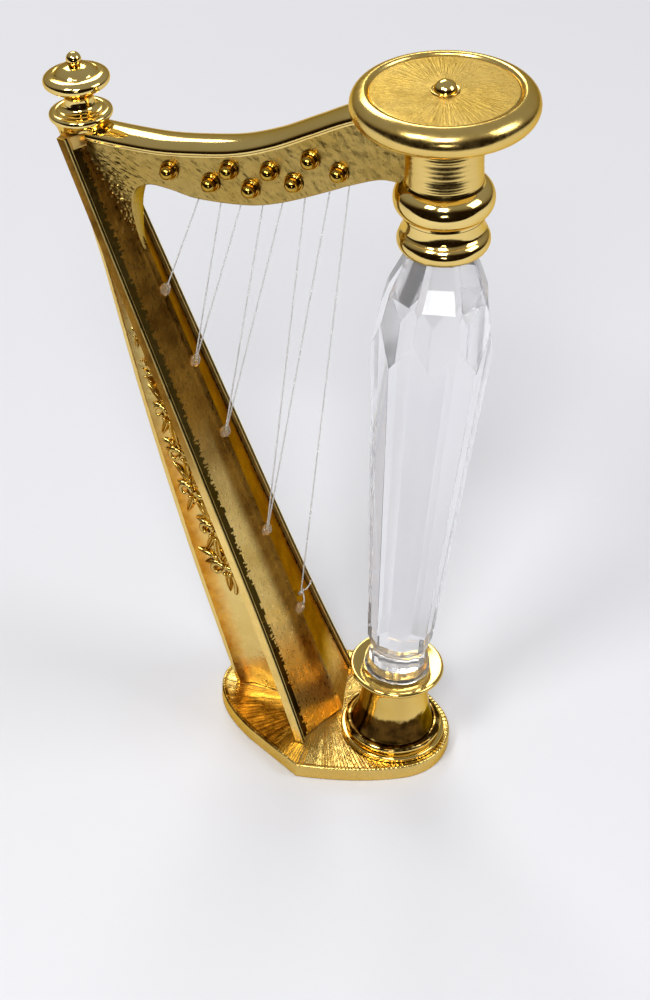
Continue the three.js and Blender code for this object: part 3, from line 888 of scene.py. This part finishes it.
def neck_rail():
    """Polished rounded rail along the top of the neck, with a thin fillet at its foot."""
    path = even(spline(NECK_TOP, 16), 220)
    section = [(RAIL_HALF - 0.04, GAP), (RAIL_HALF, 0.1), (RAIL_HALF, 0.18),
               (RAIL_HALF - 0.1, 0.24)]
    for i in range(1, 28):
        angle = math.pi * i / 28
        section.append(((RAIL_HALF - 0.08) * math.cos(angle),
                        0.26 + (RAIL_HEIGHT - 0.28) * math.sin(angle)))
    section += [(-w, h) for w, h in reversed(section[:4])]
    rings = []
    for i, point in enumerate(path):
        ahead = (path[min(i + 1, len(path) - 1)] - path[max(i - 1, 0)]).normalized()
        up = Vector((-ahead.y, ahead.x))
        rings.append([Vector((point.x + up.x * h, w, point.y + up.y * h)) for w, h in section])
    add_piece("neck_rail_visual", ring_mesh(rings), POLISHED, "neck_rail", 45)


def tuning_pins():
    """Each pin is a ball on a short shank, in a raised ring."""
    profile = [(0, GAP), (0.92, GAP), *arc(0.84, 0.1, 0.08, -20, 110, 6), (0.72, 0.1), (0.64, 0.16),
               *arc(0, 0.5, PIN_R - 0.04, -18, 88, 16), (0, 0.46 + PIN_R)]
    for index, (x, z) in enumerate(PINS):
        bm = turned_mesh(profile, 40)
        for vert in bm.verts:
            ring = max(0, 1 - abs(math.hypot(vert.co.x, vert.co.y) - 0.86) / 0.12)
            uneven = 0.5 + 0.5 * math.sin(math.atan2(vert.co.y, vert.co.x) + index)
            vert.co.z += 0.05 * ring * uneven
        turn = Matrix.Translation((x, -NECK_HALF, z)) @ Matrix.Rotation(math.pi / 2, 4, "X")
        name = f"tuning_pin_{index + 1}"
        add_piece(f"{name}_visual", moved(bm, turn), PIN, name, 50)


# ---------------------------------------------------------------- column
def pedestal():
    """Foot rings, a bell and the dish that carries the crystal."""
    bell = spline([(4.32, 3.2), (4.05, 3.9), (3.79, 4.8), (3.56, 5.9), (3.41, 7.1), (3.34, 8.4),
                   (3.44, 9.15), (3.8, 9.7), (4.4, 10.08)], 8)
    dish = spline([(4.62, 10.78), (4.3, 10.76), (3.95, 10.7), (3.5, 10.62), (3.1, 10.6)], 5)
    profile = [(0, PLATE + GAP), (5.38, PLATE + GAP), *arc(5.2, 2.04, 0.21, -40, 84, 8),
               (5.0, 2.26), (4.86, 2.3), *arc(4.5, 2.74, 0.54, -50, 92, 16, 0.8), (4.3, 3.16),
               *bell, *arc(4.52, 10.48, 0.3, -72, 88, 10), *dish, (0, 10.6)]
    bm = turned_mesh(profile)
    add_piece("column_pedestal_visual", bm, BELL, "column_pedestal")


def crystal():
    """The cut faces come from the CAD solid; their edges get the fine polish bevel of cut glass."""
    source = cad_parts["crystal_column"]
    bm = bmesh.new()
    bm.from_mesh(source.data)
    bmesh.ops.transform(bm, matrix=Matrix.Scale(1 / MM, 4), verts=bm.verts)
    bmesh.ops.remove_doubles(bm, verts=bm.verts, dist=0.002)
    bmesh.ops.dissolve_limit(bm, angle_limit=math.radians(0.7), verts=bm.verts, edges=bm.edges)
    bmesh.ops.bevel(bm, geom=bm.edges[:], offset=0.035, segments=1, profile=0.5, affect="EDGES",
                    clamp_overlap=True)
    add_piece("crystal_column_visual", bm, CRYSTAL, "crystal_column", 1)


def column_glue():
    """Glue round the crystal's foot, squeezed out unevenly, and a thin layer over its top."""
    lean = standing(0, CRYSTAL_FOOT, COLUMN_LEAN)
    outer = spline([(2.6, -0.1), (3.15, -0.08), (3.4, 0.2), (3.3, 0.7), (3.1, 1.1), (2.95, 1.32)],
                   6)
    bm = turned_mesh([(0, -0.1), *outer, (2.9, 1.2), (2.89, 0.42), (2.53, -0.02), (0, -0.02)], 96)
    for vert in bm.verts:
        reach = math.hypot(vert.co.x, vert.co.y)
        if reach > 2.98:
            wobble = 1 + 0.02 * grain(vert.co.x, vert.co.y, vert.co.z)
            vert.co.x *= wobble
            vert.co.y *= wobble
    bm = moved(bm, lean)
    add_piece("column_lower_glue_visual", bm, GLUE, "column_lower_glue", 40)
    place = standing(CAPITAL_X, CAPITAL_Z, CAPITAL_TILT)
    upper = [(0, 1.05), (2.9, 1.05), *arc(2.94, 1.18, 0.1, -60, 60, 4), (2.9, 1.31), (0, 1.31)]
    turned_piece("column_upper_glue", upper, place, GLUE, 48)


def capital():
    """Two rings, a drum with turning marks, the disc and its bead."""
    place = standing(CAPITAL_X, CAPITAL_Z, CAPITAL_TILT)
    waist = spline([(3.86, 1.98), (3.66, 2.3), (3.6, 2.8), (3.62, 3.4)], 5)
    ring = [(0, 1.36), (3.26, 1.36), (3.26, 0.12), (3.32, 0.04),
            *arc(3.1, 1.06, 1.05, -76, 60, 22), *waist, (0, 3.42)]
    turned_piece("capital_lower_ring", ring, place, POLISHED)
    bulb = [(0, 3.44), (3.6, 3.44), *arc(2.98, 5.16, 1.5, -66, 66, 26, 1.08), (3.5, 6.86),
            (0, 6.86)]
    turned_piece("capital_bulb_ring", bulb, place, POLISHED)
    drum = spline([(3.44, 6.9), (3.4, 8.2), (3.4, 10), (3.44, 11.2), (3.6, 12.1), (4.1, 12.56)],
                  14)
    lines = [(radius + 0.012 * math.sin(z * 23) + 0.01 * math.sin(z * 61), z)
             for radius, z in drum]
    turned_piece("capital_drum", [(0, 6.88), *lines, (0, 12.57)], place, SOFT)
    capital_disc(place)
    knob = [(0, 15.22), (1.26, 15.22), *arc(1.2, 15.27, 0.06, -60, 110, 6), (1.06, 15.3),
            *arc(0, 15.12, 1.05, 10, 89, 18), (0, 16.17)]
    turned_piece("capital_bead", knob, place, POLISHED, 64)


def capital_disc(place):
    """Rounded rim, a fine groove, and a field brushed outwards from the bead."""
    segments = 720
    rim = [*arc(6.68, 14, 1.45, -90, 82, 34, 0.98), (6.66, 15.38), (6.6, 15.3), (6.52, 15.17),
           (6.46, 15.14), (DISC_FIELD_R, DISC_FIELD_Z)]
    bm = turned_mesh([(0, 12.58), (3, 12.58), *rim], segments)
    edge = [vert for vert in bm.verts
            if abs(math.hypot(vert.co.x, vert.co.y) - DISC_FIELD_R) < 1e-3]
    edge.sort(key=lambda vert: math.atan2(vert.co.y, vert.co.x))
    last = edge
    rings = 34
    for k in range(1, rings):
        radius = DISC_FIELD_R * (1 - k / rings)
        ring = []
        for vert in edge:
            turn = math.atan2(vert.co.y, vert.co.x)
            cos, sin = math.cos(turn), math.sin(turn)
            streak = grain(cos * 46, sin * 46, radius * 0.35, 3)
            spark = max(0, noise.noise(Vector((radius * cos * 3.4, radius * sin * 3.4, 4))) - 0.3)
            height = DISC_FIELD_Z + min(1, radius / 1.5) * (0.009 * streak + 0.05 * spark)
            ring.append(bm.verts.new((radius * cos, radius * sin, height)))
        for i in range(segments):
            j = (i + 1) % segments
            bm.faces.new((last[i], last[j], ring[j], ring[i]))
        last = ring
    bm.faces.new(last)
    for face in bm.faces:
        middle = face.calc_center_median()
        face.material_index = int(math.hypot(middle.x, middle.y) < DISC_FIELD_R and middle.z > 15)
    bm = moved(bm, place)
    disc = add_piece("capital_disc_visual", bm, SOFT, "capital_disc", 60)
    disc.data.materials.append(FIELD)


def finial():
    """Base, mushroom cap and bead."""
    place = standing(FINIAL_X, HEAD_Z + FINIAL_LIFT, FINIAL_TILT)
    shoulder = spline([(2.5, 0.15), (2.66, 0.48), (2.88, 0.75), (2.96, 1), (2.89, 1.24),
                       (2.66, 1.38)], 7)
    collar = spline([(2.05, 1.5), (1.85, 1.54), (1.66, 1.68), (1.52, 1.84), (1.44, 2.05)], 6)
    base = [(0, GAP), (2.4, GAP), (2.47, 0.07), *shoulder, (2.3, 1.42), (2.2, 1.38), *collar,
            (0, 2.05)]
    turned_piece("finial_base", base, place, POLISHED, 96)
    rim = spline([(1.42, 2.08), (1.37, 2.5), (1.48, 2.95), (1.9, 3.36), (2.55, 3.66), (2.98, 4.02),
                  (3.08, 4.38), (2.96, 4.7), (2.62, 4.92), (2.22, 5.0)], 8)
    dome = spline([(1.98, 5.04), (1.84, 5.22), (1.6, 5.44), (1.25, 5.62), (0.75, 5.76),
                   (0.5, 5.82)], 6)
    cap = [(0, 2.08), *rim, (2.08, 4.97), *dome, (0, 5.83)]
    turned_piece("finial_cap", cap, place, POLISHED, 96)
    bead = [(0, 5.86), (0.5, 5.86), *arc(0, 6.27, 0.7, -34, 88, 16), (0, 6.97)]
    turned_piece("finial_bead", bead, place, POLISHED, 48)


# ---------------------------------------------------------------- strings
def string_top(index):
    """Where a string meets the underside of the neck."""
    x = STRINGS[index][0]
    under = spline(NECK_BOTTOM, 12)
    nearest = min(under, key=lambda point: abs(point.x - x))
    return Vector((x, 0, nearest.y))


def knot_point():
    return field_point(KNOT_Y, KNOT_Z, KNOT_LIFT)


def string_foot(index):
    """Where a string starts: beside its hole, or at the knot for the lowest one."""
    hole = STRINGS[index][1]
    if hole == len(HOLE_Z) - 1:
        return knot_point()
    side = -STRING_PAIR if index % 2 else STRING_PAIR
    return field_point(side, HOLE_Z[hole], 0.12)


def strings():
    for index in range(len(STRINGS)):
        foot, top = string_foot(index), string_top(index)
        ahead = (top - foot).normalized()
        end = top + ahead * STRING_SUNK
        bm = tube_mesh([foot.lerp(end, i / 30) for i in range(31)], STRING_R, 14)
        name = f"string_{index + 1}"
        add_piece(f"{name}_visual", bm, THREAD, name, 60)


def string_seals():
    """Clear glue drops over the string holes, each a little different."""
    for index, z in enumerate(HOLE_Z):
        at = field_point(0, z, 0.02)
        bm = bmesh.new()
        bmesh.ops.create_icosphere(bm, subdivisions=4, radius=SEAL_R)
        for vert in bm.verts:
            lump = 1 + 0.16 * noise.noise(vert.co * 2.2 + Vector((index * 3, 0, 0)))
            vert.co = Vector((vert.co.x * 0.72 * lump, vert.co.y * lump, vert.co.z * lump * 0.95))
        name = f"string_seal_{index + 1}"
        bm = moved(bm, Matrix.Translation(at))
        add_piece(f"{name}_visual", bm, DROP, name, 60)


def string_knot():
    """End of the thread: from the lowest hole to the knot, three small turns, a short tail."""
    at = knot_point()
    start = field_point(0.1, HOLE_Z[-1], 0.2)
    route = [start, start.lerp(at, 0.5) + Vector((0.35, 0, 0.1))]
    for i in range(19):
        turn = 2 * math.pi * i / 6
        loop = (0.2 * math.sin(turn), 0.3 * math.cos(turn), 0.22 * math.sin(turn + 0.6))
        route.append(at + Vector(loop))
    route += [at + Vector(step) for step in ((0.3, 0.5, 0.1), (0.5, 1.0, 0.45), (0.45, 1.5, 0.6))]
    bm = tube_mesh(spline(route, 5), STRING_R, 10)
    add_piece("string_knot_visual", bm, THREAD, "string_knot", 60)


# ---------------------------------------------------------------- studio
LIGHT = 0.285          # scales every lamp and the sky
FLOOR_HALF = 0.5
FLOOR_FRONT = 0.11     # from the harp to the paper's front edge, out of the photograph's view
SKY_UP = (-0.17, 0.42, 1.0)
SKY = [(0.0, (0.04, 0.022, 0.008)), (0.1, (0.10, 0.06, 0.025)), (0.2, (0.34, 0.26, 0.16)),
       (0.32, (0.82, 0.75, 0.63)), (0.5, (1.05, 1.02, 0.96)), (1.0, (1.15, 1.14, 1.12))]
SKY_SEEN = (2.0, 2.0, 2.04, 1)


def floor():
    """Sheet of pale paper, square to the photograph's view."""
    bm = bmesh.new()
    bmesh.ops.create_grid(bm, x_segments=2, y_segments=2, size=FLOOR_HALF)
    bmesh.ops.translate(bm, vec=(0, FLOOR_HALF - FLOOR_FRONT, 0), verts=bm.verts)
    turn = Matrix.Rotation(math.radians(VIEW_AZIMUTH), 3, "Z")
    bmesh.ops.rotate(bm, cent=(0, 0, 0), matrix=turn, verts=bm.verts)
    mesh = bpy.data.meshes.new("floor")
    bm.to_mesh(mesh)
    bm.free()
    shader = Shader("floor_paper").set(Roughness=0.85)
    paper = shader.ramp(shader.noise(3, 3, 0.5),
                        [(0.3, (0.715, 0.725, 0.77)), (0.7, (0.745, 0.755, 0.80))])
    shader.link(paper, "Base Color")
    mesh.materials.append(shader.material)
    plane = add_object("floor", mesh)


def lamp(name, place, aim, size, power, colour=(1, 1, 1)):
    """Area lamp; LIGHT scales its power."""
    light = bpy.data.lights.new(name, "AREA")
    light.shape = "RECTANGLE"
    light.size, light.size_y = size
    light.energy = power * LIGHT
    light.color = colour
    holder = add_object(name, light)
    turn = (Vector(aim) - Vector(place)).to_track_quat("-Z", "Y").to_matrix().to_4x4()
    holder.matrix_world = Matrix.Translation(place) @ turn


def studio():
    """Lamps and a sky that darkens low at the front, which gives polished metal its dark bands.

    The camera and rays through the crystal see a plain bright sky instead.
    """
    bpy.context.scene.view_settings.view_transform = "Standard"
    world = bpy.data.worlds.new("studio")
    bpy.context.scene.world = world
    world.use_nodes = True
    tree = world.node_tree
    background = tree.nodes["Background"]
    place = tree.nodes.new("ShaderNodeTexCoord")
    tilt = tree.nodes.new("ShaderNodeVectorMath")
    tilt.operation = "DOT_PRODUCT"
    tilt.inputs[1].default_value = SKY_UP
    tree.links.new(place.outputs["Generated"], tilt.inputs[0])
    ramp = tree.nodes.new("ShaderNodeValToRGB")
    set_stops(ramp.color_ramp, SKY)
    tree.links.new(tilt.outputs["Value"], ramp.inputs["Fac"])
    path = tree.nodes.new("ShaderNodeLightPath")
    mix = tree.nodes.new("ShaderNodeMix")
    mix.data_type = "RGBA"
    mix.inputs["B"].default_value = SKY_SEEN
    clear = tree.nodes.new("ShaderNodeMath")
    clear.operation = "MAXIMUM"
    tree.links.new(path.outputs["Is Camera Ray"], clear.inputs[0])
    tree.links.new(path.outputs["Is Transmission Ray"], clear.inputs[1])
    tree.links.new(clear.outputs["Value"], mix.inputs["Factor"])
    tree.links.new(ramp.outputs["Color"], mix.inputs["A"])
    tree.links.new(mix.outputs["Result"], background.inputs["Color"])
    background.inputs["Strength"].default_value = LIGHT
    lamp("key", (0.12, -0.38, 0.42), (0, 0.04, 0.03), (0.15, 0.15), 4.6, (1, 0.99, 0.97))
    lamp("side", (-0.13, -0.35, 0.44), (0, 0.04, 0.03), (0.14, 0.14), 3.8, (1, 0.99, 0.97))
    lamp("fill", (0.42, 0.1, 0.36), (0, 0.04, 0.03), (0.24, 0.24), 3.2)
    lamp("back", (-0.3, 0.36, 0.42), (0, 0.06, 0.0), (0.3, 0.2), 4.2)
    lamp("window", (0.22, -0.52, 0.1), (0, 0, 0.05), (0.1, 0.05), 0.6)


base_plate()
soundboard()
soundbox_web()
soundbox_spine()
vine("vine_relief_near_visual", "vine_relief_near", -1)
vine("vine_relief_far_visual", "vine_relief_far", 1)
neck()
neck_rail()
tuning_pins()
pedestal()
crystal()
column_glue()
capital()
finial()
strings()
string_seals()
string_knot()
floor()
studio()
